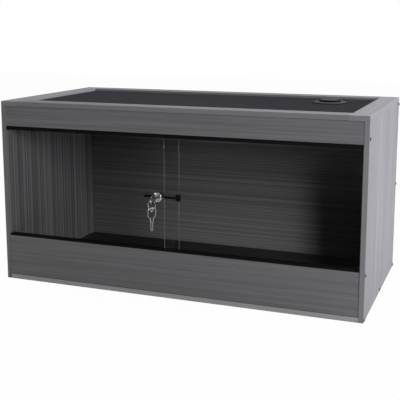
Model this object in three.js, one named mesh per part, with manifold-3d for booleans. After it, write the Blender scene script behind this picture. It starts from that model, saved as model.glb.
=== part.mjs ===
// A glass-fronted terrarium cabinet of wood boards with a mesh top, two sliding glass doors and a ratchet lock.
// Millimetres, +Z up. The origin is the centre of the base, the doors face -Y and the width runs along X.

import * as THREE from 'three';
import { mergeGeometries, mergeVertices } from 'three/addons/utils/BufferGeometryUtils.js';
import Module from 'manifold-3d';

const wasm = await Module();
wasm.setup();

// ---------- driving dimensions ----------

// boards
const cabinetWidth = 914;
const cabinetDepth = 457;
const cabinetHeight = 457;
const boardThickness = 12;
const boardEase = 0.6; // small chamfer along every board edge
const headerHeight = 50;
const kickBoardHeight = 102;
const topRailWidth = 45;
const linerThickness = 1.5;

// mesh in the top frame
const meshRecess = 6; // how far the mesh lies below the rails' top
const meshThickness = 1.2;
const meshReach = 10; // how far the mesh reaches in under the rails
const meshBorder = 12;
const meshPitch = 34;
const meshWireWidth = 2.4;

// sliding doors and their tracks
const glassThickness = 4;
const glassPlay = 0.4; // at each face of a pane in its groove
const glassEase = 0.4;
const glassOverlap = 35;
const glassEndGap = 0.5;
const glassFootGap = 0.3;
const glassHeadReach = 3.5; // how far a pane stands in the upper groove
const trackWall = 1.2;
const trackDivider = 3;
const trackFloor = 1.2;
const trackSetback = 1; // front of the tracks behind the front of the boards
const upperTrackHeight = 9;
const lowerTrackHeight = 5;

// port in the mesh
const portFromRightRail = 107; // from the opening's right edge to the port's centre
const portFromBackRail = 103.5;
const portFlangeRadius = 43;
const portFlangeHeight = 3.2;
const portRimHeight = 1.8;
const portBoreRadius = 24;
const portNeckWall = 3;
const portNeckDepth = 12;
const portRingRadius = 39;
const portRingThickness = 3;
const portCapRadius = 26;
const portCapHeight = 7;
const portCapTop = 1.6;
const portCapPlugDepth = 3;
const portCapRibs = 24;
const portCapRibDepth = 1.1;

// ratchet lock
const lockBelowMiddle = 8; // the bar's middle below the panes' middle
const barHeight = 7;
const barThickness = 1.5;
const barLength = 90; // from the hook to the free end
const toothPitch = 3;
const toothDepth = 1.2;
const hookHeight = 15;
const hookReach = 8;
const hookWall = 1.5;
const lockGap = 0.3; // running clearance inside the lock and along the bar
const lockLip = 0.7; // wall of the lock between the bar and the rear pane
const lockBarrelRadius = 11;
const lockBarrelLength = 25;
const lockPaneGap = 1; // barrel to the front pane
const lockRimChamfer = 1.4;
const lockFootWidth = 13.7;
const lockFootHeight = 18;
const lockWall = 1.1;
const plugRadius = 6;
const plugTailRadius = 3.4;
const plugLength = 22;
const plugRecess = 0.5;
const plugTurnDegrees = 45;
const crankRadius = 2;
const crankPinRadius = 1;
const pawlWeb = 1; // pawl material round the crank window
const pawlNose = 2.1; // thickness of the pawl over the bar
const pawlPocketDepth = 2;
const toothPlay = 0.12; // between the lowered pawl and the bar's teeth

// keys and ring
const keyThickness = 2;
const keyBladeHeight = 6.4;
const keyBladeLength = 30;
const keyInsertDepth = 19.5;
const keyBowLength = 25;
const keyBowHeight = 21;
const keyHoleRadius = 3;
const keyHoleInset = 5.5; // from the bow's end to the hole's centre
const keyCutDepth = 1.3;
const keywayGap = 0.3;
const ringRadius = 9.25; // at the middle of the wire
const ringWireRadius = 0.75;
const ringGap = 0.3;
const spareKeyTwistDegrees = 35;

// screws and dowels
const screwHeadRadius = 4;
const screwHeadHeight = 1.8;
const screwShankRadius = 1.7;
const screwLength = 32;
const headerScrewInset = 12; // above the header's lower edge
const kickScrewInset = 7; // below the kick board's upper edge
const backPanelScrewInset = 6; // below the back panel's upper edge
const backScrewInset = 65; // from the side panels' inner faces
const dowelRadius = 3;
const dowelLength = 20;
const dowelInRail = 8;
const dowelInset = 78.5; // from the front and the back of the cabinet
const seatGap = 0.3; // between turned or cut pieces that seat on each other

// ---------- places worked out from them ----------

const frontY = -cabinetDepth / 2;
const backY = cabinetDepth / 2;
const sideX = cabinetWidth / 2;
const innerX = sideX - boardThickness;
const carcassTop = cabinetHeight - boardThickness;
const boardBackFrontY = backY - boardThickness; // front face of the back panel
const kickTop = boardThickness + kickBoardHeight;
const headerBottom = carcassTop - headerHeight;

const openingX = sideX - topRailWidth; // half of the opening in the top frame
const openingY = backY - topRailWidth;
const meshTop = cabinetHeight - meshRecess;
const meshBottom = meshTop - meshThickness;
const meshHalfX = openingX + meshReach;
const meshHalfY = openingY + meshReach;
const portX = openingX - portFromRightRail;
const portY = openingY - portFromBackRail;

const grooveWidth = glassThickness + 2 * glassPlay;
const trackWidth = 2 * trackWall + 2 * grooveWidth + trackDivider;
const trackFrontY = frontY + trackSetback;
const frontPaneY = trackFrontY + trackWall + glassPlay; // front face of the front pane
const rearPaneY = frontPaneY + grooveWidth + trackDivider; // front face of the rear pane
const glassBottom = kickTop + trackFloor + glassFootGap;
const glassTop = headerBottom - upperTrackHeight + glassHeadReach;
const glassWidth = innerX - glassEndGap + glassOverlap / 2;

const barCentreZ = (glassBottom + glassTop) / 2 - lockBelowMiddle;
const barBottom = barCentreZ - barHeight / 2;
const barTop = barCentreZ + barHeight / 2;
const barBackY = rearPaneY - lockGap - lockLip - lockGap;
const barFrontY = barBackY - barThickness;
const hookX = glassOverlap / 2 + lockGap; // inner face of the hook, at the rear pane's edge
const barEndX = hookX + hookWall - barLength;

const plugTurn = THREE.MathUtils.degToRad(plugTurnDegrees);
const crankRestX = crankRadius * Math.sin(Math.PI / 2 - plugTurn);
const crankRestZ = crankRadius * Math.cos(Math.PI / 2 - plugTurn);
const windowPlay = crankPinRadius + lockGap;
const pawlBottom = crankRestZ - windowPlay - pawlWeb; // measured from the lock's axis, pawl lifted
const pawlTop = crankRestZ + windowPlay + pawlWeb;
const pawlHalfWidth = crankRadius + windowPlay + pawlWeb;
const footRightX = -glassOverlap / 2 - lockGap; // the lock's foot stands against the front pane's edge
const lockX = footRightX - lockWall - lockGap - pawlHalfWidth;
const lockZ = barTop + lockGap - pawlBottom;
const lockFaceY = -lockPaneGap - lockBarrelLength; // measured from the front pane's front face

const materials = {
  board: new THREE.MeshStandardMaterial({ color: 0x747477, roughness: 0.62, metalness: 0 }),
  liner: new THREE.MeshStandardMaterial({ color: 0x0d0d0e, roughness: 0.35, metalness: 0 }),
  mesh: new THREE.MeshStandardMaterial({ color: 0x1b1c1f, roughness: 0.5, metalness: 0.4 }),
  blackPlastic: new THREE.MeshStandardMaterial({ color: 0x0e0e0f, roughness: 0.45, metalness: 0 }),
  glass: new THREE.MeshStandardMaterial({
    color: 0xdfe8e6,
    roughness: 0.05,
    metalness: 0,
    transparent: true,
    opacity: 0.25,
  }),
  chrome: new THREE.MeshStandardMaterial({ color: 0xd8dadc, roughness: 0.15, metalness: 1 }),
  blackSteel: new THREE.MeshStandardMaterial({ color: 0x101012, roughness: 0.4, metalness: 0.6 }),
  steel: new THREE.MeshStandardMaterial({ color: 0xb4b6b8, roughness: 0.3, metalness: 1 }),
  wood: new THREE.MeshStandardMaterial({ color: 0xc9a878, roughness: 0.8, metalness: 0 }),
};

// ---------- joining and cutting ----------

function solidOf(geometry) {
  const bare = geometry.index ? geometry.toNonIndexed() : geometry.clone();
  bare.deleteAttribute('normal');
  bare.deleteAttribute('uv');
  const merged = mergeVertices(bare, 1e-4);
  return new wasm.Manifold(new wasm.Mesh({
    numProp: 3,
    vertProperties: merged.attributes.position.array,
    triVerts: new Uint32Array(merged.index.array),
  }));
}

function geometryOf(solid) {
  const mesh = solid.getMesh();
  const indexed = new THREE.BufferGeometry();
  indexed.setAttribute('position', new THREE.BufferAttribute(mesh.vertProperties, 3));
  indexed.setIndex(new THREE.BufferAttribute(mesh.triVerts, 1));
  const flat = indexed.toNonIndexed();
  flat.computeVertexNormals();
  return flat;
}

function cut(geometry, ...tools) {
  return geometryOf(tools.reduce((solid, tool) => solid.subtract(solidOf(tool)), solidOf(geometry)));
}

function join(first, ...others) {
  return geometryOf(others.reduce((solid, other) => solid.add(solidOf(other)), solidOf(first)));
}

// ---------- basic forms ----------

// A block between two corners.
function block(low, high) {
  const size = high.map((value, axis) => value - low[axis]);
  const centre = high.map((value, axis) => (value + low[axis]) / 2);
  return new THREE.BoxGeometry(...size).translate(...centre);
}

// A form turned about the Y axis. The profile holds [radius, y] points from the low end of the axis to the high end.
function turned(profile, segments) {
  return new THREE.LatheGeometry(profile.map(([radius, y]) => new THREE.Vector2(radius, y)), segments);
}

// A plain round rod or cutter along Y.
function rod(radius, fromY, toY, segments) {
  return turned([[0, fromY], [radius, fromY], [radius, toY], [0, toY]], segments);
}

// An outline of [x, y] points, extruded along Z.
function extruded(points, depth) {
  const shape = new THREE.Shape(points.map(([x, y]) => new THREE.Vector2(x, y)));
  return new THREE.ExtrudeGeometry(shape, { depth, bevelEnabled: false });
}

// A rectangular board with all twelve edges eased, centred on the origin.
function easedBoard(width, depth, height, ease) {
  const x = width / 2 - ease;
  const y = depth / 2 - ease;
  const corner = ease * (Math.SQRT2 - 1);
  const outline = new THREE.Shape([
    [-x + corner, -y], [x - corner, -y], [x, -y + corner], [x, y - corner],
    [x - corner, y], [-x + corner, y], [-x, y - corner], [-x, -y + corner],
  ].map(([px, py]) => new THREE.Vector2(px, py)));
  const geometry = new THREE.ExtrudeGeometry(outline, {
    depth: height - 2 * ease,
    bevelEnabled: true,
    bevelThickness: ease,
    bevelSize: ease,
    bevelSegments: 1,
  });
  return geometry.translate(0, 0, ease - height / 2);
}

function meshOf(name, geometry, material) {
  const mesh = new THREE.Mesh(geometry, material);
  mesh.name = name;
  return mesh;
}

// A board between two corners of the cabinet, with the cutters given in the cabinet's frame.
function board(name, low, high, cutters = [], material = materials.board, ease = boardEase) {
  const centre = high.map((value, axis) => (value + low[axis]) / 2);
  let geometry = easedBoard(high[0] - low[0], high[1] - low[1], high[2] - low[2], ease);
  if (cutters.length) {
    geometry = cut(geometry, ...cutters.map((cutter) => cutter.clone().translate(...centre.map((c) => -c))));
  }
  const mesh = meshOf(name, geometry, material);
  mesh.position.set(...centre);
  return mesh;
}

// ---------- screws and dowels ----------

const edgeMiddle = boardThickness / 2; // a screw enters the middle of the next board's edge

// Where screws go through a side panel: [y, z, name]
const sideScrews = [
  [frontY + edgeMiddle, headerBottom + headerScrewInset, 'front_top'],
  [frontY + edgeMiddle, kickTop - kickScrewInset, 'front_middle'],
  [frontY + edgeMiddle, edgeMiddle, 'front_bottom'],
  [0, edgeMiddle, 'centre_bottom'],
  [backY - edgeMiddle, carcassTop - backPanelScrewInset, 'back_top'],
  [backY - edgeMiddle, cabinetHeight / 2, 'back_middle'],
  [backY - edgeMiddle, edgeMiddle, 'back_bottom'],
];

// Where screws go through the back panel into the bottom: [x, name]
const backScrews = [
  [backScrewInset - innerX, 'left'],
  [0, 'centre'],
  [innerX - backScrewInset, 'right'],
];

function screwGeometry() {
  const crown = screwHeadHeight * 0.6;
  return turned([
    [0, -screwLength],
    [screwShankRadius * 0.4, -screwLength],
    [screwShankRadius, -screwLength + 2 * screwShankRadius],
    [screwShankRadius, seatGap],
    [screwHeadRadius, seatGap],
    [screwHeadRadius, crown],
    [screwHeadRadius * 0.7, screwHeadHeight],
    [0, screwHeadHeight],
  ], 12);
}

function screwBore() {
  return rod(screwShankRadius + seatGap, -screwLength - seatGap, 1, 10);
}

// Turns a form that stands on +Y so that it stands on the left or right side of the cabinet instead.
function facingSide(object, side) {
  object.rotation.z = side < 0 ? Math.PI / 2 : -Math.PI / 2;
  return object;
}

function sideScrewBores(side) {
  const turn = side < 0 ? Math.PI / 2 : -Math.PI / 2;
  return sideScrews.map(([y, z]) => screwBore().rotateZ(turn).translate(side * sideX, y, z));
}

function backScrewBores() {
  return backScrews.map(([x]) => screwBore().translate(x, backY, edgeMiddle));
}

function screws() {
  const group = new THREE.Group();
  for (const [side, sideName] of [[-1, 'left'], [1, 'right']]) {
    for (const [y, z, place] of sideScrews) {
      const screw = meshOf(`screw_${sideName}_${place}`, screwGeometry(), materials.blackSteel);
      screw.position.set(side * sideX, y, z);
      group.add(facingSide(screw, side));
    }
  }
  for (const [x, place] of backScrews) {
    const screw = meshOf(`screw_back_${place}`, screwGeometry(), materials.blackSteel);
    screw.position.set(x, backY, edgeMiddle);
    group.add(screw);
  }
  return group;
}

const dowelPlaces = [-1, 1].flatMap((side) => [-1, 1].map((end) => ({
  name: `dowel_${side < 0 ? 'left' : 'right'}_${end < 0 ? 'front' : 'back'}`,
  x: side * (sideX - edgeMiddle),
  y: end * (backY - dowelInset),
})));

function dowels() {
  const group = new THREE.Group();
  const nose = 1;
  const low = dowelInRail - dowelLength;
  for (const { name, x, y } of dowelPlaces) {
    const dowel = meshOf(name, turned([
      [0, low],
      [dowelRadius - nose, low],
      [dowelRadius, low + nose],
      [dowelRadius, dowelInRail - nose],
      [dowelRadius - nose, dowelInRail],
      [0, dowelInRail],
    ], 12), materials.wood);
    dowel.rotation.x = Math.PI / 2;
    dowel.position.set(x, y, carcassTop);
    group.add(dowel);
  }
  return group;
}

function dowelBores() {
  const bore = rod(dowelRadius + seatGap, dowelInRail - dowelLength - seatGap, dowelInRail + seatGap, 12);
  bore.rotateX(Math.PI / 2);
  return dowelPlaces.map(({ x, y }) => bore.clone().translate(x, y, carcassTop));
}

// ---------- carcass ----------

function carcass() {
  const group = new THREE.Group();
  const fromBack = backScrewBores();
  for (const [side, sideName] of [[-1, 'left'], [1, 'right']]) {
    const low = [side < 0 ? -sideX : innerX, frontY, 0];
    const high = [side < 0 ? -innerX : sideX, backY, carcassTop];
    const bores = dowelBores().filter((bore, index) => Math.sign(dowelPlaces[index].x) === side);
    group.add(board(`${sideName}_side_panel`, low, high, [...sideScrewBores(side), ...bores]));
  }
  const fromSides = [...sideScrewBores(-1), ...sideScrewBores(1)];
  const meeting = (bottom, top, front, back) => fromSides.filter((bore, index) => {
    const [y, z] = sideScrews[index % sideScrews.length];
    return z > bottom && z < top && y > front && y < back;
  });
  group.add(board(
    'bottom_panel',
    [-innerX, frontY, 0],
    [innerX, boardBackFrontY, boardThickness],
    [...meeting(0, boardThickness, frontY, boardBackFrontY), ...fromBack],
  ));
  group.add(board(
    'back_panel',
    [-innerX, boardBackFrontY, 0],
    [innerX, backY, carcassTop],
    [...meeting(0, carcassTop, boardBackFrontY, backY), ...fromBack],
  ));
  group.add(board(
    'front_kick_board',
    [-innerX, frontY, boardThickness],
    [innerX, frontY + boardThickness, kickTop],
    meeting(boardThickness, kickTop, frontY, frontY + boardThickness),
  ));
  group.add(board(
    'front_header',
    [-innerX, frontY, headerBottom],
    [innerX, frontY + boardThickness, carcassTop],
    meeting(headerBottom, carcassTop, frontY, frontY + boardThickness),
  ));
  group.add(board(
    'floor_liner',
    [-innerX + seatGap, frontY + boardThickness + seatGap, boardThickness],
    [innerX - seatGap, boardBackFrontY - seatGap, boardThickness + linerThickness],
    [],
    materials.liner,
    linerThickness / 5,
  ));
  return group;
}

// ---------- top frame ----------

// Side rails run the full depth, and the front and back rails stand between them. A rebate underneath holds the mesh.
function topFrame() {
  const group = new THREE.Group();
  const rebate = block(
    [-meshHalfX - seatGap, -meshHalfY - seatGap, carcassTop - 1],
    [meshHalfX + seatGap, meshHalfY + seatGap, meshTop],
  );
  for (const [side, sideName] of [[-1, 'left'], [1, 'right']]) {
    const low = [side < 0 ? -sideX : openingX, frontY, carcassTop];
    const high = [side < 0 ? -openingX : sideX, backY, cabinetHeight];
    const bores = dowelBores().filter((bore, index) => Math.sign(dowelPlaces[index].x) === side);
    group.add(board(`top_rail_${sideName}`, low, high, [rebate, ...bores]));
  }
  group.add(board('top_rail_front', [-openingX, frontY, carcassTop], [openingX, -openingY, cabinetHeight], [rebate]));
  group.add(board('top_rail_back', [-openingX, openingY, carcassTop], [openingX, backY, cabinetHeight], [rebate]));
  return group;
}

// The woven mesh as a flat grid: a rim and straight wires at an even pitch, with a round hole for the port.
function topMesh() {
  const innerHalfX = meshHalfX - meshBorder;
  const innerHalfY = meshHalfY - meshBorder;
  const columns = Math.max(2, Math.round(2 * innerHalfX / meshPitch));
  const rows = Math.max(2, Math.round(2 * innerHalfY / meshPitch));
  const stepX = (2 * innerHalfX + meshWireWidth) / columns;
  const stepY = (2 * innerHalfY + meshWireWidth) / rows;
  const sheet = block([-meshHalfX, -meshHalfY, 0], [meshHalfX, meshHalfY, meshThickness]);
  const gaps = [];
  for (let column = 0; column < columns; column += 1) {
    for (let row = 0; row < rows; row += 1) {
      const x = -innerHalfX + column * stepX;
      const y = -innerHalfY + row * stepY;
      gaps.push(block([x, y, -1], [x + stepX - meshWireWidth, y + stepY - meshWireWidth, meshThickness + 1]));
    }
  }
  const portHole = rod(portBoreRadius + portNeckWall + seatGap, -1, meshThickness + 1, 24);
  portHole.rotateX(Math.PI / 2).translate(portX, portY, 0);
  const mesh = meshOf('top_mesh', cut(sheet, mergeGeometries(gaps), portHole), materials.mesh);
  mesh.position.z = meshBottom;
  return mesh;
}

// Four flat strips in the rebate press the mesh up against the rails.
function clampStrips() {
  const group = new THREE.Group();
  const ease = boardEase / 2;
  const strip = (name, low, high) => {
    group.add(board(`mesh_clamp_strip_${name}`, [...low, carcassTop], [...high, meshBottom], [], materials.board, ease));
  };
  strip('left', [-meshHalfX, -meshHalfY], [-openingX, meshHalfY]);
  strip('right', [openingX, -meshHalfY], [meshHalfX, meshHalfY]);
  strip('front', [-openingX, -meshHalfY], [openingX, -openingY]);
  strip('back', [-openingX, openingY], [openingX, meshHalfY]);
  return group;
}

// ---------- port ----------

// A flanged neck through the mesh, held by a ring below it, with a ribbed cap pushed into its bore.
function port() {
  const group = new THREE.Group();
  const neckRadius = portBoreRadius + portNeckWall;
  const capSeatRadius = portCapRadius + seatGap;
  const segments = 32;

  const flange = meshOf('port_flange', turned([
    [portBoreRadius, -portNeckDepth],
    [neckRadius, -portNeckDepth],
    [neckRadius, 0],
    [portFlangeRadius, 0],
    [portFlangeRadius, portRimHeight],
    [portFlangeRadius - 5, portFlangeHeight],
    [capSeatRadius + 3, portFlangeHeight],
    [capSeatRadius, portFlangeHeight - portRimHeight],
    [portBoreRadius, portFlangeHeight - portRimHeight],
    [portBoreRadius, -portNeckDepth],
  ], segments), materials.blackPlastic);
  group.add(flange);

  const ring = meshOf('port_clamp_ring', turned([
    [neckRadius + seatGap, -meshThickness - portRingThickness],
    [portRingRadius, -meshThickness - portRingThickness],
    [portRingRadius, -meshThickness],
    [neckRadius + seatGap, -meshThickness],
    [neckRadius + seatGap, -meshThickness - portRingThickness],
  ], segments), materials.blackPlastic);
  group.add(ring);

  const capFoot = portFlangeHeight - portRimHeight + seatGap;
  const plugOuter = portBoreRadius - seatGap;
  const body = turned([
    [0, capFoot + portCapHeight - portCapTop],
    [plugOuter - 2.5, capFoot + portCapHeight - portCapTop - 0.8],
    [plugOuter - 2, capFoot - portCapPlugDepth],
    [plugOuter, capFoot - portCapPlugDepth],
    [plugOuter, capFoot],
    [portCapRadius, capFoot],
    [portCapRadius, capFoot + portCapHeight - 2],
    [portCapRadius - 2, capFoot + portCapHeight - 0.4],
    [portCapRadius - 8, capFoot + portCapHeight],
    [0, capFoot + portCapHeight + 0.4],
  ], 48);
  const grooves = [];
  const grooveRadius = Math.PI * portCapRadius / portCapRibs / 2;
  for (let rib = 0; rib < portCapRibs; rib += 1) {
    const angle = (rib + 0.5) * 2 * Math.PI / portCapRibs;
    const reach = portCapRadius + grooveRadius - portCapRibDepth;
    const groove = rod(grooveRadius, capFoot - 1, capFoot + portCapHeight + 1, 8);
    groove.rotateY(Math.PI / 8 + angle);
    grooves.push(groove.translate(reach * Math.sin(angle), 0, reach * Math.cos(angle)));
  }
  group.add(meshOf('port_cap', cut(body, ...grooves), materials.blackPlastic));

  group.children.forEach((piece) => {
    piece.rotation.x = Math.PI / 2;
  });
  group.position.set(portX, portY, meshTop);
  return group;
}

// ---------- doors ----------

// A track section in the Y-Z plane with two grooves open upwards, its floor at z = 0 and its front face at y = 0.
function trackOutline(height) {
  const grooves = [trackWall, trackWall + grooveWidth + trackDivider];
  const outline = [[0, height], [0, 0], [trackWidth, 0], [trackWidth, height]];
  for (const start of grooves.reverse()) {
    outline.push([start + grooveWidth, height], [start + grooveWidth, trackFloor], [start, trackFloor], [start, height]);
  }
  return outline;
}

// Lays an outline drawn in X-Y along the cabinet's width: its x becomes Y, its y becomes Z.
function alongWidth(mesh) {
  mesh.rotation.set(Math.PI / 2, Math.PI / 2, 0);
  return mesh;
}

function tracks() {
  const group = new THREE.Group();
  const lower = meshOf('lower_track', extruded(trackOutline(lowerTrackHeight), 2 * innerX), materials.blackPlastic);
  lower.position.set(-innerX, trackFrontY, kickTop);
  const upperOutline = trackOutline(upperTrackHeight).map(([y, z]) => [y, upperTrackHeight - z]).reverse();
  const upper = meshOf('upper_track', extruded(upperOutline, 2 * innerX), materials.blackPlastic);
  upper.position.set(-innerX, trackFrontY, headerBottom - upperTrackHeight);
  group.add(alongWidth(lower), alongWidth(upper));
  return group;
}

function glassDoors() {
  const group = new THREE.Group();
  const pane = (name, lowX, frontFaceY) => board(
    name,
    [lowX, frontFaceY, glassBottom],
    [lowX + glassWidth, frontFaceY + glassThickness, glassTop],
    [],
    materials.glass,
    glassEase,
  );
  group.add(pane('left_glass_door', -innerX + glassEndGap, rearPaneY));
  group.add(pane('right_glass_door', -glassOverlap / 2, frontPaneY));
  return group;
}

// ---------- ratchet lock ----------

// The saw teeth between two x values: a steep face towards the hook, a slope towards the free end.
function toothLine(fromX, count, root, tip, side) {
  const points = [];
  for (let tooth = 0; tooth < count; tooth += 1) {
    const x = fromX + tooth * toothPitch;
    points.push([x, root], [x + toothPitch - side, tip], [x + toothPitch - side, root]);
  }
  return points;
}

function ratchetBar() {
  const teeth = Math.floor((hookX - hookReach - barEndX) / toothPitch);
  const outline = [
    [barEndX, barBottom],
    [hookX, barBottom],
    [hookX, barTop - toothDepth],
    ...toothLine(barEndX + 1, teeth, barTop - toothDepth, barTop, 0.01).reverse(),
    [barEndX, barTop - toothDepth],
  ];
  const strip = extruded(outline, barThickness).rotateX(Math.PI / 2).translate(0, barBackY, 0);
  const rearFaceY = rearPaneY + glassThickness + lockGap;
  const hookOutline = [
    [hookX - hookReach, barFrontY],
    [hookX + hookWall, barFrontY],
    [hookX + hookWall, rearFaceY + hookWall],
    [hookX - hookReach, rearFaceY + hookWall],
    [hookX - hookReach, rearFaceY],
    [hookX, rearFaceY],
    [hookX, rearPaneY - lockGap],
    [hookX - hookReach, rearPaneY - lockGap],
  ];
  const hook = extruded(hookOutline, hookHeight).translate(0, 0, barCentreZ - hookHeight / 2);
  return meshOf('lock_ratchet_bar', join(strip, hook), materials.blackSteel);
}

// Everything from here to the keys is drawn round the lock's axis, with y = 0 at the front pane's front face.
const barFrontLocal = barFrontY - frontPaneY;
const barBackLocal = barBackY - frontPaneY;
const pawlFrontLocal = barBackLocal - pawlNose - pawlPocketDepth;
const chamberFrontLocal = pawlFrontLocal - lockGap;
const plugFaceLocal = lockFaceY + plugRecess;
const plugShoulderLocal = plugFaceLocal + plugLength;

function lockBody() {
  const barrel = turned([
    [0, lockFaceY],
    [lockBarrelRadius - lockRimChamfer, lockFaceY],
    [lockBarrelRadius, lockFaceY + lockRimChamfer],
    [lockBarrelRadius, -lockPaneGap],
    [0, -lockPaneGap],
  ], 40);
  const footRight = footRightX - lockX;
  const footBack = rearPaneY - lockGap - frontPaneY;
  const footBottom = barBottom - lockGap - lockWall - lockZ;
  const foot = block(
    [footRight - lockFootWidth, -lockPaneGap - 2, footBottom],
    [footRight, footBack, footBottom + lockFootHeight],
  );
  const bore = rod(plugRadius + lockGap, lockFaceY - 1, plugShoulderLocal + lockGap, 24);
  const tailBore = rod(plugTailRadius + lockGap, plugShoulderLocal, chamberFrontLocal + 0.5, 20);
  const barSlot = block(
    [footRight - lockFootWidth - 1, barFrontLocal - lockGap, barBottom - lockGap - lockZ],
    [footRight + 1, barBackLocal + lockGap, barTop + lockGap - lockZ],
  );
  const chamber = block(
    [-pawlHalfWidth - lockGap, chamberFrontLocal, pawlBottom - crankRestZ - lockGap],
    [pawlHalfWidth + lockGap, barBackLocal + lockGap, pawlTop + lockGap],
  );
  return meshOf('lock_body', cut(join(barrel, foot), bore, tailBore, barSlot, chamber), materials.chrome);
}

function lockPlug() {
  const tailEnd = chamberFrontLocal - lockGap;
  const plug = turned([
    [0, plugFaceLocal],
    [plugRadius - 0.4, plugFaceLocal],
    [plugRadius, plugFaceLocal + 0.4],
    [plugRadius, plugShoulderLocal],
    [plugTailRadius, plugShoulderLocal],
    [plugTailRadius, tailEnd],
    [0, tailEnd],
  ], 24);
  const pin = rod(crankPinRadius, tailEnd - 1, pawlFrontLocal + pawlPocketDepth - lockGap, 12);
  pin.translate(crankRestX, 0, crankRestZ);
  const keyway = block(
    [-keyThickness / 2 - keywayGap, plugFaceLocal - 1, -keyBladeHeight / 2 - keywayGap],
    [keyThickness / 2 + keywayGap, lockFaceY + keyInsertDepth + keywayGap + 0.5, keyBladeHeight / 2 + keywayGap],
  );
  return meshOf('lock_plug', cut(join(plug, pin), keyway), materials.chrome);
}

// The pawl hangs on the crank pin. Lifted, it clears the bar's teeth, and a turn of the plug lowers it into them.
function lockPawl() {
  const stem = block(
    [-pawlHalfWidth, pawlFrontLocal, pawlBottom],
    [pawlHalfWidth, barBackLocal, pawlTop],
  );
  const window = block(
    [crankRestX - windowPlay, pawlFrontLocal - 1, crankRestZ - windowPlay],
    [crankRadius + windowPlay, pawlFrontLocal + pawlPocketDepth, crankRestZ + windowPlay],
  );
  const firstTooth = Math.floor((lockX - pawlHalfWidth - barEndX) / toothPitch) - 1;
  const toothCount = Math.ceil(2 * pawlHalfWidth / toothPitch) + 3;
  const fromX = barEndX + 1 + firstTooth * toothPitch - lockX;
  const tip = pawlBottom - lockGap + crankRestZ + toothPlay;
  const barTeeth = extruded([
    [fromX, tip - 2 * toothDepth],
    [fromX + toothCount * toothPitch, tip - 2 * toothDepth],
    ...toothLine(fromX, toothCount, tip - toothDepth, tip, 0.01).reverse(),
  ], barBackLocal - pawlFrontLocal + 2);
  barTeeth.rotateX(Math.PI / 2).translate(0, barBackLocal + 1, 0);
  const besideTeeth = barTeeth.clone().translate(lockGap, 0, 0);
  return meshOf('lock_pawl', cut(stem, window, barTeeth, besideTeeth), materials.steel);
}

// ---------- keys ----------

// A flat key in the X-Y plane: tip at x = 0, bow at the far end, middle line on y = 0.
function keyGeometry() {
  const half = keyBladeHeight / 2;
  const bowHalf = keyBowHeight / 2;
  const length = keyBladeLength + keyBowLength;
  const cuts = 5;
  const cutStep = (keyInsertDepth - half) / cuts;
  const outline = new THREE.Shape();
  outline.moveTo(0, -half * 0.3);
  outline.lineTo(half * 0.6, -half);
  outline.lineTo(keyInsertDepth + 3, -half);
  outline.lineTo(keyInsertDepth + 3, -half - 1);
  outline.lineTo(keyBladeLength, -half - 1);
  outline.quadraticCurveTo(keyBladeLength + 1, -bowHalf, keyBladeLength + 8, -bowHalf);
  outline.lineTo(length - 8, -bowHalf);
  outline.quadraticCurveTo(length, -bowHalf, length, 0);
  outline.quadraticCurveTo(length, bowHalf, length - 8, bowHalf);
  outline.lineTo(keyBladeLength + 8, bowHalf);
  outline.quadraticCurveTo(keyBladeLength + 1, bowHalf, keyBladeLength, half + 1);
  outline.lineTo(keyInsertDepth + 3, half + 1);
  outline.lineTo(keyInsertDepth + 3, half);
  for (let index = cuts; index > 0; index -= 1) {
    const x = half * 0.6 + index * cutStep;
    outline.lineTo(x, half);
    outline.lineTo(x - cutStep / 2, half - keyCutDepth * (index % 2 ? 1 : 0.6));
  }
  outline.lineTo(half * 0.6, half);
  outline.lineTo(0, half * 0.3);
  const hole = new THREE.Path();
  hole.absarc(length - keyHoleInset, 0, keyHoleRadius, 0, 2 * Math.PI, true);
  outline.holes.push(hole);
  const geometry = new THREE.ExtrudeGeometry(outline, { depth: keyThickness, bevelEnabled: false, curveSegments: 6 });
  return geometry.translate(0, 0, -keyThickness / 2);
}

const keyHoleLocalY = lockFaceY + keyInsertDepth - (keyBladeLength + keyBowLength - keyHoleInset);
const ringWireZ = -keyHoleRadius + ringGap + ringWireRadius; // the ring's top hangs on the lower edge of the hole
const ringCentreZ = ringWireZ - ringRadius;
const spareWireZ = ringCentreZ - ringRadius;
const spareHoleZ = spareWireZ + ringWireRadius + ringGap - keyHoleRadius;

// The key in the lock stands on edge, in the Y-Z plane, with its bow towards the front.
function keyInLock() {
  const key = meshOf('lock_key', keyGeometry(), materials.steel);
  key.rotation.set(0, -Math.PI / 2, -Math.PI / 2);
  key.position.y = lockFaceY + keyInsertDepth;
  return key;
}

function keyRing() {
  const ring = meshOf('key_ring', new THREE.TorusGeometry(ringRadius, ringWireRadius, 8, 36), materials.steel);
  ring.rotation.x = Math.PI / 2;
  ring.position.set(0, keyHoleLocalY, ringCentreZ);
  return ring;
}

// The spare key hangs blade down from the ring, turned about the vertical as far as the wire lets it.
function spareKey() {
  const key = meshOf('spare_key', keyGeometry(), materials.steel);
  key.rotation.set(0, -Math.PI / 2, 0);
  key.position.z = -(keyBladeLength + keyBowLength - keyHoleInset);
  const hanger = new THREE.Group();
  hanger.add(key);
  hanger.position.set(0, keyHoleLocalY, spareHoleZ);
  hanger.rotation.z = -THREE.MathUtils.degToRad(spareKeyTwistDegrees);
  return hanger;
}

function ratchetLock() {
  const group = new THREE.Group();
  group.add(lockBody(), lockPlug(), lockPawl(), keyInLock(), keyRing(), spareKey());
  group.position.set(lockX, frontPaneY, lockZ);
  return group;
}

// ---------- the whole cabinet ----------

const cabinet = new THREE.Group();
cabinet.name = 'terrarium_cabinet';
cabinet.add(
  carcass(),
  topFrame(),
  topMesh(),
  clampStrips(),
  port(),
  tracks(),
  glassDoors(),
  ratchetBar(),
  ratchetLock(),
  screws(),
  dowels(),
);

export default cabinet;
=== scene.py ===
import math

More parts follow.
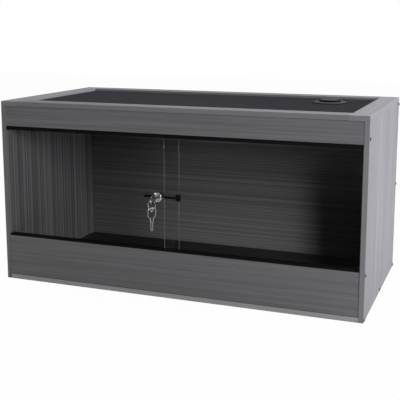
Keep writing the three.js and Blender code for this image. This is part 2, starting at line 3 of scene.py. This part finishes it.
import bpy
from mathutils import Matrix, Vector


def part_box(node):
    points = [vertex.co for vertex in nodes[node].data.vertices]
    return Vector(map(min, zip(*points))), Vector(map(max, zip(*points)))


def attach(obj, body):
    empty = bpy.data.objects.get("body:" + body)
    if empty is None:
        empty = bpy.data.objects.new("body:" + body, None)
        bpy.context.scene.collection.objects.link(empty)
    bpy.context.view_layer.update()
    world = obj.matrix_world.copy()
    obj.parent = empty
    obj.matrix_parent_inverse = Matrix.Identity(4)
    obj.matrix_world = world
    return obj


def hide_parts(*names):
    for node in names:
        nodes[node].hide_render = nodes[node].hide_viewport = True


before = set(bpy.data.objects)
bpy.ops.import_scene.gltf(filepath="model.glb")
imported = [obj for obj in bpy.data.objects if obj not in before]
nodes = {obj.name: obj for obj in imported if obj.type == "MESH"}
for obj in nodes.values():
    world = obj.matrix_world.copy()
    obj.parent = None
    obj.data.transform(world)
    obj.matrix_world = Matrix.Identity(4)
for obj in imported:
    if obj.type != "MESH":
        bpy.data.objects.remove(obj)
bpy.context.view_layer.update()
scene = bpy.context.scene
scene.view_settings.view_transform = "Standard"


# Shader maths: a Signal wraps a socket, so that sums and products of signals make Math nodes.
class Signal:
    def __init__(self, tree, socket=None):
        self.tree = tree
        self.socket = socket

    def node(self, kind, settings=None, inputs=None, out=0):
        made = self.tree.nodes.new(kind)
        for name, value in (settings or {}).items():
            if name == "stops":
                for element, (place, tone) in zip(made.color_ramp.elements, value):
                    element.position = place
                    element.color = (tone, tone, tone, 1)
            else:
                setattr(made, name, value)
        for name, value in (inputs or {}).items():
            if isinstance(value, Signal):
                self.tree.links.new(value.socket, made.inputs[name])
            else:
                made.inputs[name].default_value = value
        return Signal(self.tree, made.outputs[out] if len(made.outputs) else None)

    def maths(self, operation, left, right=0.0):
        return self.node("ShaderNodeMath", {"operation": operation}, {0: left, 1: right})

    def __add__(self, other):
        return self.maths("ADD", self, other)

    __radd__ = __add__

    def __sub__(self, other):
        return self.maths("SUBTRACT", self, other)

    def __rsub__(self, other):
        return self.maths("SUBTRACT", other, self)

    def __mul__(self, other):
        return self.maths("MULTIPLY", self, other)

    __rmul__ = __mul__

    def above(self, limit):
        return self.maths("GREATER_THAN", self, limit)

    def size(self):
        return self.maths("ABSOLUTE", self)


def newMaterial(name):
    material = bpy.data.materials.new(name)
    material.use_nodes = True
    material.node_tree.nodes.clear()
    return material, Signal(material.node_tree)


def finishMaterial(start, surface):
    start.node("ShaderNodeOutputMaterial", {}, {"Surface": surface})


def principled(start, values):
    return start.node("ShaderNodeBsdfPrincipled", {}, values)


def bumped(start, height, distance, strength):
    return start.node("ShaderNodeBump", {}, {"Strength": strength, "Distance": distance, "Height": height})


def places(start):
    return start.node("ShaderNodeTexCoord", out="Object")


def placeAlong(start, axis):
    return start.node("ShaderNodeSeparateXYZ", {}, {0: places(start)}, out=axis)


def normalAlong(start, axis):
    normal = start.node("ShaderNodeTexCoord", out="Normal")
    return start.node("ShaderNodeSeparateXYZ", {}, {0: normal}, out=axis)


noiseMean = 0.5


def noise(start, scale, detail=2.0, roughness=0.5):
    stretched = start.node("ShaderNodeMapping", {}, {"Vector": places(start), "Scale": scale})
    return start.node(
        "ShaderNodeTexNoise",
        {"noise_dimensions": "3D"},
        {"Vector": stretched, "Scale": 1.0, "Detail": detail, "Roughness": roughness},
    )


def mapped(start, value, limits, first=0.0, last=1.0, kind="LINEAR"):
    return start.node(
        "ShaderNodeMapRange",
        {"clamp": True, "interpolation_type": kind},
        {0: value, 1: limits[0], 2: limits[1], 3: first, 4: last},
    )


def blendColours(start, mask, low, high):
    ends = [(*end, 1) if isinstance(end, tuple) else end for end in (low, high)]
    return start.node("ShaderNodeMix", {"data_type": "RGBA"}, {0: mask, 6: ends[0], 7: ends[1]}, out=2)


def scaled(parts, share):
    return tuple(share * part for part in parts)


def giveMaterial(thing, material):
    thing.data.materials.clear()
    thing.data.materials.append(material)


# Grey laminated boards: streaks run along the grain, and the narrow edges carry a plain edge band.
boardLook = {
    "dark": (0.165, 0.165, 0.171),
    "light": (0.250, 0.250, 0.258),
    "edge": (0.225, 0.225, 0.234),
    "edgeClouds": 60.0,  # per metre
    "edgeDark": 0.93,  # share of the edge's tone in its darker clouds
    "seam": (0.015, 0.015, 0.016),
    # layers of streaks: per metre across the grain and along it, detail and roughness of the noise
    "broad": (9.0, 0.9, 2.0, 0.5),
    "middle": (52.0, 1.8, 3.0, 0.55),
    "fine": (230.0, 2.7, 3.0, 0.65),
    "hair": (600.0, 18.0, 2.0, 0.6),
    "mix": (0.20, 0.24, 0.56),  # shares of the broad, middle and fine streaks
    "range": (0.38, 0.64),  # of the mixed streaks, from dark to light
    "pores": (0.30, 0.44),  # of the hair layer, from a pore to none
    "poreTone": 0.10,  # share of the light that a pore takes
    "relief": (0.7, 0.3),  # shares of the fine streaks and the pores
    "bump": 0.00006,
    "bumpStrength": 0.6,
    "roughness": 0.58,
    "darkRoughness": 0.10,  # added where the board is dark
    "middleRoughness": 0.06,  # added by the middle streaks
    "shine": 0.28,
    "facing": 0.55,  # least part of the normal on a board's face
}
# the same boards seen inside: darker as painted shade of the interior, with clear thin lines
insideLook = {
    "dark": (0.085, 0.085, 0.088),
    "light": (0.330, 0.330, 0.334),
    "groups": (30.0, 0.35, 2.0, 0.5),
    "groupShift": 0.6,
    "threadShift": 0.3,
    "range": (0.38, 0.64),  # of the threads
    "level": 0.33,  # where the tone lies between dark and light
    "wall": {"threads": (200.0, 0.35, 1.0, 0.5), "contrast": (0.28, 0.50), "cloud": 0.12},
    "back": {
        "threads": (270.0, 0.35, 1.0, 0.5),
        "contrast": (0.16, 0.30),
        "cloud": 0.07,
        "ends": (0.05, 0.43),  # metres from the middle, where the painted shade starts and where it is darkest
        "endTone": 0.46,
    },
}


def grainLayer(start, plan, layer, shift):
    across, along, detail, roughness = layer
    scale = [across, across, across]
    scale[plan["grain"]] = along
    scale[plan["face"]] = 1.0 + shift
    return noise(start, tuple(scale), detail, roughness)


def insideGrain(start, plan, look=insideLook):
    own = look[plan["inside"]]
    threads = grainLayer(start, plan, own["threads"], look["threadShift"])
    groups = grainLayer(start, plan, look["groups"], look["groupShift"])
    lines = mapped(start, threads, look["range"]) - noiseMean
    alone, gathered = own["contrast"]  # of the threads alone, and where they gather
    mask = look["level"] + lines * (alone + gathered * groups) + own["cloud"] * (groups - noiseMean)
    dark = scaled(look["dark"], plan["insideTone"])
    light = scaled(look["light"], plan["insideTone"])
    grain = blendColours(start, mask, dark, light)
    if "ends" in own:  # painted shade: the board is darker towards both ends of its grain, standing in for light falling off
        along = placeAlong(start, plan["grain"]).size()
        unshadedShare = mapped(start, along, own["ends"], 1.0, own["endTone"], "SMOOTHSTEP")
        grain = blendColours(start, unshadedShare, (0.0, 0.0, 0.0), grain)
    return grain


# dark line where a board meets its neighbours, painted shade and dirt in the joint, on the given sides (axis,
# low or high end) of the node's box
def seamMask(start, nodeName, sides, width):
    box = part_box(nodeName)
    mask = None
    for axis, end in sides:
        place = placeAlong(start, axis)
        limit = box[end][axis] + (width if end == 0 else -width)
        line = (limit - place).above(0.0) if end == 0 else place.above(limit)
        mask = line if mask is None else mask.maths("MAXIMUM", mask, line)
    return mask


def boardMaterial(name, plan, look=boardLook):
    material, start = newMaterial(name)
    layers = ("broad", "middle", "fine", "hair")
    broad, middle, fine, hair = [grainLayer(start, plan, look[layer], plan["shift"]) for layer in layers]
    pores = start.node("ShaderNodeValToRGB", {"stops": zip(look["pores"], (0.0, 1.0))}, {0: hair})
    broadShare, middleShare, fineShare = look["mix"]
    mixed = broadShare * broad + middleShare * middle + fineShare * fine
    mask = mapped(start, mixed, look["range"])
    mask = mask * ((1 - look["poreTone"]) + look["poreTone"] * pores)
    dark = scaled(look["dark"], plan["tone"])
    light = scaled(look["light"], plan["tone"])
    colour = blendColours(start, mask, dark, light)
    if "inside" in plan:
        within = (plan["insideLimit"] - placeAlong(start, plan["face"]).size()).above(0.0)
        colour = blendColours(start, within, colour, insideGrain(start, plan))
    facing = normalAlong(start, plan["face"]).size().above(look["facing"])
    clouds = noise(start, (look["edgeClouds"], look["edgeClouds"], look["edgeClouds"]))
    edgeDark = scaled(look["edge"], look["edgeDark"] * plan["edgeTone"])
    edgeLight = scaled(look["edge"], plan["edgeTone"])
    colour = blendColours(start, facing, blendColours(start, clouds, edgeDark, edgeLight), colour)
    if "seamSides" in plan:
        seam = seamMask(start, plan["nodes"][0], plan["seamSides"], plan["seamWidth"])
        colour = blendColours(start, seam, colour, look["seam"])
    fineRelief, poreRelief = look["relief"]
    relief = (fineRelief * fine + poreRelief * pores) * facing
    roughness = look["roughness"] + look["darkRoughness"] * (1 - mask) + look["middleRoughness"] * middle
    finishMaterial(start, principled(start, {
        "Base Color": colour,
        "Roughness": roughness,
        "Specular IOR Level": look["shine"],
        "Normal": bumped(start, relief, look["bump"], look["bumpStrength"]),
    }))
    return material


def middleOf(nodeName, axis):
    low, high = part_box(nodeName)
    return (low[axis] + high[axis]) / 2


# Axes are 0, 1 and 2 for x, y and z. A board's shift sets its streaks apart from the other boards' streaks.
# tone, edgeTone and insideTone are painted light and shade: the boards are one laminate, and these tones make
# each board lighter or darker as the light falls on it
boardDefaults = {"shift": 0.0, "tone": 1.0, "edgeTone": 1.0}
sideInside = {"inside": "wall", "insideLimit": middleOf("right_side_panel", 0)}
backInside = {"inside": "back", "insideLimit": middleOf("back_panel", 1)}
boardPlans = {
    "boardUpright": {"nodes": ("right_side_panel",), "grain": 2, "face": 0, **sideInside, "insideTone": 0.95},
    "boardUprightLeft": {
        "nodes": ("left_side_panel",),
        "grain": 2,
        "face": 0,
        # painted shade: the left panel's front edge is darker
        "edgeTone": 0.8,
        **sideInside,
        "insideTone": 0.97,
    },
    "boardBack": {
        "nodes": ("back_panel",),
        "grain": 0,
        "face": 1,
        "shift": 0.2,
        "tone": 0.9,
        **backInside,
        "insideTone": 1.28,
    },
    "boardKick": {
        "nodes": ("front_kick_board",),
        "grain": 0,
        "face": 1,
        "shift": 0.4,
        "tone": 0.79,
        "seamSides": ((0, 0), (0, 1), (2, 0)),
        "seamWidth": 0.0010,
    },
    "boardHeader": {
        "nodes": ("front_header",),
        "grain": 0,
        "face": 1,
        "shift": 0.9,
        "tone": 0.76,
        "seamSides": ((0, 0), (0, 1), (2, 1)),
        "seamWidth": 0.0006,
    },
    # painted light: the bottom panel's front edge is much lighter
    "boardBottom": {"nodes": ("bottom_panel",), "grain": 0, "face": 2, "shift": 0.1, "edgeTone": 1.8},
    "railLong": {
        "nodes": ("top_rail_front", "top_rail_back", "mesh_clamp_strip_front", "mesh_clamp_strip_back"),
        "grain": 0,
        "face": 2,
        "shift": 0.8,
        "edgeTone": 0.88,
    },
    "railCross": {
        "nodes": ("top_rail_left", "top_rail_right", "mesh_clamp_strip_left", "mesh_clamp_strip_right"),
        "grain": 1,
        "face": 2,
        "shift": 1.3,
        "tone": 1.22,
    },
}
for name, plan in boardPlans.items():
    material = boardMaterial(name, {**boardDefaults, **plan})
    for nodeName in plan["nodes"]:
        giveMaterial(nodes[nodeName], material)
print("boards finished")

# plain materials: clouds between two tones, and a roughness that follows the clouds
plainDefaults = {
    "cloudNoise": (3.0, 0.55),  # detail and roughness of the noise
    "stretch": (1, 1, 1),
    "finer": 4,  # speckles to a cloud, for the bump
    "bump": 0.0,
    "bumpStrength": 0.5,
    "metallic": 0.0,
    "shine": 0.5,
}
plainLooks = {
    "floorLiner": {
        "dark": (0.003, 0.003, 0.0034),
        "light": (0.005, 0.005, 0.0056),
        "roughness": 0.34,
        "spread": 0.1,
        "clouds": 40,  # per metre
        "shine": 0.2,
    },
    "meshCoating": {
        "dark": (0.007, 0.007, 0.010),
        "light": (0.013, 0.013, 0.019),
        "roughness": 0.6,
        "spread": 0.16,
        "clouds": 300,
        "shine": 0.25,
    },
    "trackPlastic": {
        "dark": (0.002, 0.002, 0.0022),
        "light": (0.0035, 0.0035, 0.0038),
        "roughness": 0.55,
        "spread": 0.1,
        "clouds": 120,
        "bump": 0.00003,
        "shine": 0.12,
    },
    "lockChrome": {
        "dark": (0.76, 0.77, 0.79),
        "light": (0.86, 0.87, 0.89),
        "roughness": 0.20,
        "spread": 0.08,
        "clouds": 240,
        "metallic": 1.0,
    },
    "keyNickel": {
        "dark": (0.60, 0.60, 0.62),
        "light": (0.76, 0.76, 0.78),
        "roughness": 0.15,
        "spread": 0.10,
        "clouds": 300,
        "metallic": 1.0,
        "bump": 0.00002,
    },
    # painted shade on the keys' flat faces, which are nickel like the rim
    "keyFace": {
        "dark": (0.045, 0.045, 0.048),
        "light": (0.085, 0.085, 0.09),
        "roughness": 0.3,
        "spread": 0.14,
        "clouds": 300,
        "metallic": 1.0,
        "bump": 0.00002,
    },
    "barBlackening": {
        "dark": (0.001, 0.001, 0.0012),
        "light": (0.003, 0.003, 0.0034),
        "roughness": 0.5,
        "spread": 0.14,
        "clouds": 200,
        "shine": 0.08,
    },
    "screwBlackening": {
        "dark": (0.010, 0.010, 0.011),
        "light": (0.022, 0.022, 0.024),
        "roughness": 0.38,
        "spread": 0.2,
        "clouds": 400,
        "metallic": 0.6,
    },
    "dowelBeech": {
        "dark": (0.42, 0.27, 0.14),
        "light": (0.60, 0.43, 0.25),
        "roughness": 0.7,
        "spread": 0.1,
        "clouds": 300,
        "stretch": (1, 1, 0.05),
    },
}


def plainMaterial(name, look):
    material, start = newMaterial(name)
    cloud = noise(start, scaled(look["stretch"], look["clouds"]), *look["cloudNoise"])
    values = {
        "Base Color": blendColours(start, cloud, look["dark"], look["light"]),
        "Roughness": look["roughness"] + look["spread"] * (cloud - noiseMean),
        "Metallic": look["metallic"],
        "Specular IOR Level": look["shine"],
    }
    if look["bump"]:
        speckle = noise(start, scaled(look["stretch"], look["finer"] * look["clouds"]))
        values["Normal"] = bumped(start, speckle, look["bump"], look["bumpStrength"])
    finishMaterial(start, principled(start, values))
    return material


plainMaterials = {name: plainMaterial(name, {**plainDefaults, **look}) for name, look in plainLooks.items()}

# Clear panes: almost nothing on the faces, faint smears, and a pale line on the ground edges.
paneLook = {
    "face": (0.010, 0.012, 0.012),
    "edge": (0.25, 0.27, 0.267),
    "faceAlpha": 0.03,
    "smearAlpha": 0.012,  # added by the smears
    "edgeAlpha": 0.5,
    "facing": 0.9,  # least part of the normal on a pane's face
    "smears": (6.0, 6.0, 3.0),  # per metre
    "smearNoise": (3.0, 0.6),  # detail and roughness
    "smearRange": (0.4, 0.75),
    "roughness": 0.03,
    "smearRoughness": 0.03,
    "ior": 1.5,
}


def paneMaterial(look=paneLook):
    material, start = newMaterial("paneGlass")
    facing = normalAlong(start, 1).size().above(look["facing"])
    smears = mapped(start, noise(start, look["smears"], *look["smearNoise"]), look["smearRange"])
    faceAlpha = look["faceAlpha"] + look["smearAlpha"] * smears
    finishMaterial(start, principled(start, {
        "Base Color": blendColours(start, facing, look["edge"], look["face"]),
        "Roughness": look["roughness"] + look["smearRoughness"] * smears,
        "IOR": look["ior"],
        "Alpha": facing * faceAlpha + (1 - facing) * look["edgeAlpha"],
    }))
    return material


paneGlass = paneMaterial()
for nodeName in ("left_glass_door", "right_glass_door"):
    giveMaterial(nodes[nodeName], paneGlass)
giveMaterial(nodes["floor_liner"], plainMaterials["floorLiner"])
for nodeName in ("upper_track", "lower_track"):
    giveMaterial(nodes[nodeName], plainMaterials["trackPlastic"])
for nodeName in nodes:
    if nodeName.startswith("dowel_"):
        giveMaterial(nodes[nodeName], plainMaterials["dowelBeech"])
print("panes, liner, tracks and dowels finished")

# ways of working on a piece
shapeCare = {
    "weld": 0.000005,  # points nearer than this become one
    "flat": 0.6,  # degrees, below which two faces become one
    "round": 30,  # degrees, above which an edge is rounded
    "smooth": 40,  # degrees, below which an edge is shaded smooth
    "segments": 2,  # of a rounded edge
}


def takeOnly(piece):
    bpy.ops.object.select_all(action="DESELECT")
    piece.select_set(True)
    bpy.context.view_layer.objects.active = piece


def applyAll(piece):
    takeOnly(piece)
    for modifier in list(piece.modifiers):
        bpy.ops.object.modifier_apply(modifier=modifier.name)


def settle(piece):
    takeOnly(piece)
    bpy.ops.object.transform_apply(location=True, rotation=True, scale=True)


def roundEdges(piece, width, angle=shapeCare["round"]):
    modifier = piece.modifiers.new("bevel", "BEVEL")
    modifier.width = width
    modifier.segments = shapeCare["segments"]
    modifier.limit_method = "ANGLE"
    modifier.angle_limit = math.radians(angle)
    modifier.use_clamp_overlap = True
    applyAll(piece)


def carve(piece, cutter, operation="DIFFERENCE"):
    modifier = piece.modifiers.new("carve", "BOOLEAN")
    modifier.operation = operation
    modifier.solver = "EXACT"
    modifier.object = cutter
    applyAll(piece)
    bpy.data.objects.remove(cutter)


def smoothed(piece, angle=shapeCare["smooth"]):
    takeOnly(piece)
    bpy.ops.object.shade_smooth_by_angle(angle=math.radians(angle))


def mergedCopy(nodeName, pieceName):
    piece = bpy.data.objects.new(pieceName, nodes[nodeName].data.copy())
    scene.collection.objects.link(piece)
    takeOnly(piece)
    bpy.ops.object.mode_set(mode="EDIT")
    bpy.ops.mesh.select_all(action="SELECT")
    bpy.ops.mesh.remove_doubles(threshold=shapeCare["weld"])
    bpy.ops.mesh.dissolve_limited(angle_limit=math.radians(shapeCare["flat"]))
    bpy.ops.object.mode_set(mode="OBJECT")
    return piece


def standIn(piece, nodeName, body, material):
    giveMaterial(piece, material)
    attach(piece, body)
    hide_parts(nodeName)


def roundedPiece(nodeName, pieceName, body, material, width):
    piece = mergedCopy(nodeName, pieceName)
    roundEdges(piece, width)
    smoothed(piece)
    standIn(piece, nodeName, body, material)


# fine mesh: straight wires crossing on two levels, with a hole for the port's neck
meshWeave = {
    "pitch": 0.0020,
    "wire": 0.00085,  # diameter
    "sides": 6,
    "lift": 0.48,  # of the wire, between each level and the middle
    "inset": 0.002,
    "holeRadius": 0.0273,
    "holeSides": 48,
    "holeDepth": 0.01,
    "smooth": 65,  # degrees
}


def wireRow(name, length, count, turn, first, step, hole, look):
    bpy.ops.mesh.primitive_cylinder_add(
        vertices=look["sides"],
        radius=look["wire"] / 2,
        depth=length,
        location=first,
        rotation=turn,
    )
    row = bpy.context.object
    row.name = name
    settle(row)
    array = row.modifiers.new("row", "ARRAY")
    array.count = count
    array.use_relative_offset = False
    array.use_constant_offset = True
    array.constant_offset_displace = step
    applyAll(row)
    bpy.ops.mesh.primitive_cylinder_add(
        vertices=look["holeSides"],
        radius=look["holeRadius"],
        depth=look["holeDepth"],
        location=hole,
    )
    carve(row, bpy.context.object)
    return row


def weaveMesh(look=meshWeave):
    low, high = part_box("top_mesh")
    pitch = look["pitch"]
    width = high.x - low.x - 2 * look["inset"]
    depth = high.y - low.y - 2 * look["inset"]
    middle = (low.z + high.z) / 2
    lift = min(look["wire"] * look["lift"], (high.z - low.z - look["wire"]) / 2)
    hole = (middleOf("port_flange", 0), middleOf("port_flange", 1), middle)
    columns = wireRow(
        "meshColumns",
        depth,
        int(width / pitch),
        (math.radians(90), 0, 0),
        (low.x + look["inset"] + pitch / 2, (low.y + high.y) / 2, middle + lift),
        (pitch, 0, 0),
        hole,
        look,
    )
    rows = wireRow(
        "meshRows",
        width,
        int(depth / pitch),
        (0, math.radians(90), 0),
        ((low.x + high.x) / 2, low.y + look["inset"] + pitch / 2, middle - lift),
        (0, pitch, 0),
        hole,
        look,
    )
    takeOnly(rows)
    columns.select_set(True)
    bpy.ops.object.join()
    rows.name = "fineMesh"
    smoothed(rows, look["smooth"])
    standIn(rows, "top_mesh", "cabinet", plainMaterials["meshCoating"])
    print("fine mesh woven, faces:", len(rows.data.polygons))


weaveMesh()

# port: flange, ring below and ribbed cap with rounded edges; the faces that look up carry painted light,
# paler in speckled patches
portLook = {
    "rounds": {
        "port_flange": ("portFlange", "cabinet", 0.0006),
        "port_clamp_ring": ("portClampRing", "cabinet", 0.0004),
        "port_cap": ("portCap", "cap", 0.00035),
    },
    "dark": (0.003, 0.003, 0.0036),
    "worn": (0.062, 0.062, 0.067),
    "up": (0.70, 0.97),  # of the normal's upward part, where the painted light starts and where it is full
    "patches": (0.7, 0.6),  # of the painted light, how much is everywhere and what the speckles add
    "speckles": 900.0,  # per metre
    "roughness": 0.56,
    "spread": 0.12,
    "shine": 0.12,
    "bump": 0.00004,
    "bumpStrength": 0.5,
}


def portPlastic(look=portLook):
    material, start = newMaterial("portPlastic")
    speckle = noise(start, (look["speckles"], look["speckles"], look["speckles"]))
    even, added = look["patches"]
    # painted light: faces that look up are lighter, in speckled patches
    worn = mapped(start, normalAlong(start, 2), look["up"]) * (even + added * speckle)
    finishMaterial(start, principled(start, {
        "Base Color": blendColours(start, worn, look["dark"], look["worn"]),
        "Roughness": look["roughness"] + look["spread"] * (speckle - noiseMean),
        "Specular IOR Level": look["shine"],
        "Normal": bumped(start, speckle, look["bump"], look["bumpStrength"]),
    }))
    return material


def buildPort(look=portLook):
    plastic = portPlastic()
    for nodeName, (pieceName, body, width) in look["rounds"].items():
        roundedPiece(nodeName, pieceName, body, plastic, width)


buildPort()
print("port finished")

# lock: barrel, plug, pawl and toothed bar with rounded edges, as piece, body, slot, material and width
lockLook = {
    "lock_body": ("lockBody", "lock", "chrome", "lockChrome", 0.0003),
    "lock_plug": ("lockPlug", "plug", "chrome", "lockChrome", 0.00015),
    "lock_pawl": ("lockPawl", "pawl", "steel", "keyNickel", 0.00012),
    "lock_ratchet_bar": ("lockRatchetBar", "left_door", "black_steel", "barBlackening", 0.00016),
}
for nodeName, (pieceName, body, slot, look, width) in lockLook.items():
    roundedPiece(nodeName, pieceName, body, plainMaterials[look], width)
print("lock finished")

# keys: the flat faces are sunk inside a bright rim and darkened as painted shade, and every edge is rounded
keyLook = {
    "keys": {"lock_key": ("lockKey", "key"), "spare_key": ("spareKey", "second_key")},
    "round": 0.00018,
    "roundAbove": 40,  # degrees
    "rim": 0.0007,
    "sink": 0.0002,
    "facing": 0.98,  # least part of the normal on a key's flat faces
    "ringSmooth": 60,  # degrees
}


def sinkFaces(piece, look):
    widest = max(piece.data.polygons, key=lambda face: face.area)
    across = widest.normal.copy()
    for face in piece.data.polygons:
        face.select = abs(face.normal.dot(across)) > look["facing"]
    takeOnly(piece)
    bpy.ops.object.mode_set(mode="EDIT")
    bpy.ops.mesh.select_mode(type="FACE")
    bpy.ops.mesh.inset(thickness=look["rim"], depth=-look["sink"], use_boundary=True, use_even_offset=True)
    bpy.ops.object.mode_set(mode="OBJECT")
    # the sunk flat faces get the painted shade
    piece.data.materials.append(plainMaterials["keyFace"])
    for face in piece.data.polygons:
        if face.select:
            face.material_index = 1


def buildKeys(look=keyLook):
    for nodeName, (pieceName, body) in look["keys"].items():
        piece = mergedCopy(nodeName, pieceName)
        roundEdges(piece, look["round"], look["roundAbove"])
        standIn(piece, nodeName, body, plainMaterials["keyNickel"])
        sinkFaces(piece, look)
        smoothed(piece)
    ring = mergedCopy("key_ring", "keyRing")
    smoothed(ring, look["ringSmooth"])
    standIn(ring, "key_ring", "ring", plainMaterials["keyNickel"])


buildKeys()
print("keys finished")

# screws: rounded heads with a cross recess
screwLook = {"round": 0.0003, "arm": 0.0042, "slit": 0.0010, "sink": 0.0011}


def crossCutter(axis, place, look):
    bars = []
    for turn in (0, 1):
        size = [look["slit"]] * 3
        size[axis] = 2 * look["sink"]
        size[(axis + 1 + turn) % 3] = look["arm"]
        bpy.ops.mesh.primitive_cube_add(size=1.0, location=place, scale=size)
        bars.append(bpy.context.object)
        settle(bars[-1])
    cross, other = bars
    carve(cross, other, "UNION")
    return cross


def buildScrews(look=screwLook):
    for nodeName in [name for name in nodes if name.startswith("screw_")]:
        low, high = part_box(nodeName)
        size = high - low
        axis = max(range(3), key=lambda item: size[item])
        outer = high if abs(high[axis]) > abs(low[axis]) else low
        place = (low + high) / 2
        place[axis] = outer[axis]
        words = nodeName.split("_")
        piece = mergedCopy(nodeName, words[0] + "".join(word.capitalize() for word in words[1:]))
        roundEdges(piece, look["round"])
        carve(piece, crossCutter(axis, place, look))
        smoothed(piece)
        standIn(piece, nodeName, "cabinet", plainMaterials["screwBlackening"])


buildScrews()
print("screws finished")

# floor, light and camera
stageLook = {
    "floorSize": 14.0,
    "floorTone": 0.50,
    "floorSpread": 0.02,
    "floorClouds": (0.7, 0.7, 0.7),  # per metre
    "floorRoughness": 0.9,
    "floorWhite": 0.98,  # share of plain white that the camera sees in the floor
    "sky": 0.035,
    "shine": 0.10,  # of the sky in glossy pieces
}


def buildStage(look=stageLook):
    bpy.ops.mesh.primitive_plane_add(size=look["floorSize"], location=(0, 0, 0))
    floor = bpy.context.object
    floor.name = "studioFloor"
    material, start = newMaterial("studioFloorPaint")
    cloud = noise(start, look["floorClouds"])
    dark = look["floorTone"]
    light = dark + look["floorSpread"]
    paint = principled(start, {
        "Base Color": blendColours(start, cloud, (dark, dark, dark), (light, light, light)),
        "Roughness": look["floorRoughness"],
        "Specular IOR Level": 0.0,
    })
    glow = start.node("ShaderNodeEmission", {}, {"Color": (1, 1, 1, 1), "Strength": 1.0})
    seen = start.node("ShaderNodeLightPath", out="Is Camera Ray")
    white = seen * look["floorWhite"]
    finishMaterial(start, start.node("ShaderNodeMixShader", {}, {0: white, 1: paint, 2: glow}))
    giveMaterial(floor, material)

    world = bpy.data.worlds.new("studioWorld")
    scene.world = world
    world.use_nodes = True
    world.node_tree.nodes.clear()
    sky = Signal(world.node_tree)
    camera = sky.node("ShaderNodeLightPath", out="Is Camera Ray")
    glossy = sky.node("ShaderNodeLightPath", out="Is Glossy Ray")
    strength = look["sky"] + (1 - look["sky"]) * camera + (look["shine"] - look["sky"]) * glossy
    shade = sky.node("ShaderNodeBackground", {}, {"Color": (1, 1, 1, 1), "Strength": strength})
    sky.node("ShaderNodeOutputWorld", {}, {"Surface": shade})


lampTarget = Vector((0, 0, 0.25))
lampPlans = {
    # azimuth is degrees to the right of straight in front
    "frontStrip": {"azimuth": 31.5, "elevation": 21, "distance": 3.4, "size": (0.4, 1.2), "power": 48},
    "sideBox": {
        "azimuth": 97,
        "elevation": 33,
        "distance": 2.8,
        "size": (1.2, 1.2),
        "power": 93,
        "tint": (0.94, 0.945, 1.0),
    },
    "lowBox": {"azimuth": 100, "elevation": -8, "distance": 1.0, "size": (0.4, 0.16), "power": 0.7},
    "leftBox": {"azimuth": -94, "elevation": 35, "distance": 3.0, "size": (1.6, 1.2), "power": 38},
    "backBox": {"azimuth": 180, "elevation": 50, "distance": 3.0, "size": (1.8, 1.2), "power": 14},
    "topBox": {"azimuth": 20, "elevation": 84, "distance": 3.0, "size": (1.8, 1.2), "power": 9},
}


def buildLamps():
    for name, plan in lampPlans.items():
        lamp = bpy.data.lights.new(name, "AREA")
        lamp.shape = "RECTANGLE"
        lamp.size, lamp.size_y = plan["size"]
        lamp.color = plan.get("tint", (1.0, 1.0, 1.0))
        lamp.energy = plan["power"]
        holder = bpy.data.objects.new(name, lamp)
        azimuth = math.radians(plan["azimuth"])
        elevation = math.radians(plan["elevation"])
        away = Vector((
            math.sin(azimuth) * math.cos(elevation),
            -math.cos(azimuth) * math.cos(elevation),
            math.sin(elevation),
        ))
        holder.location = lampTarget + plan["distance"] * away
        holder.rotation_mode = "QUATERNION"
        holder.rotation_quaternion = away.to_track_quat("Z", "Y")
        scene.collection.objects.link(holder)


cameraPlan = {
    "place": (0.7283, -1.9374, 0.6535),
    "turn": 20.94,  # degrees to the left of straight ahead
    "tilt": 9.72,  # degrees down
    "sensor": 36,
    "lens": 73.15,
    "shift": -0.1,
}


def buildCamera(plan=cameraPlan):
    data = bpy.data.cameras.new("photoCamera")
    data.sensor_width = plan["sensor"]
    data.lens = plan["lens"]
    data.shift_y = plan["shift"]
    camera = bpy.data.objects.new("photoCamera", data)
    camera.location = plan["place"]
    camera.rotation_euler = (math.radians(90 - plan["tilt"]), 0, math.radians(plan["turn"]))
    scene.collection.objects.link(camera)
    scene.camera = camera


buildStage()
buildLamps()
buildCamera()
print("stage, lamps and camera set")
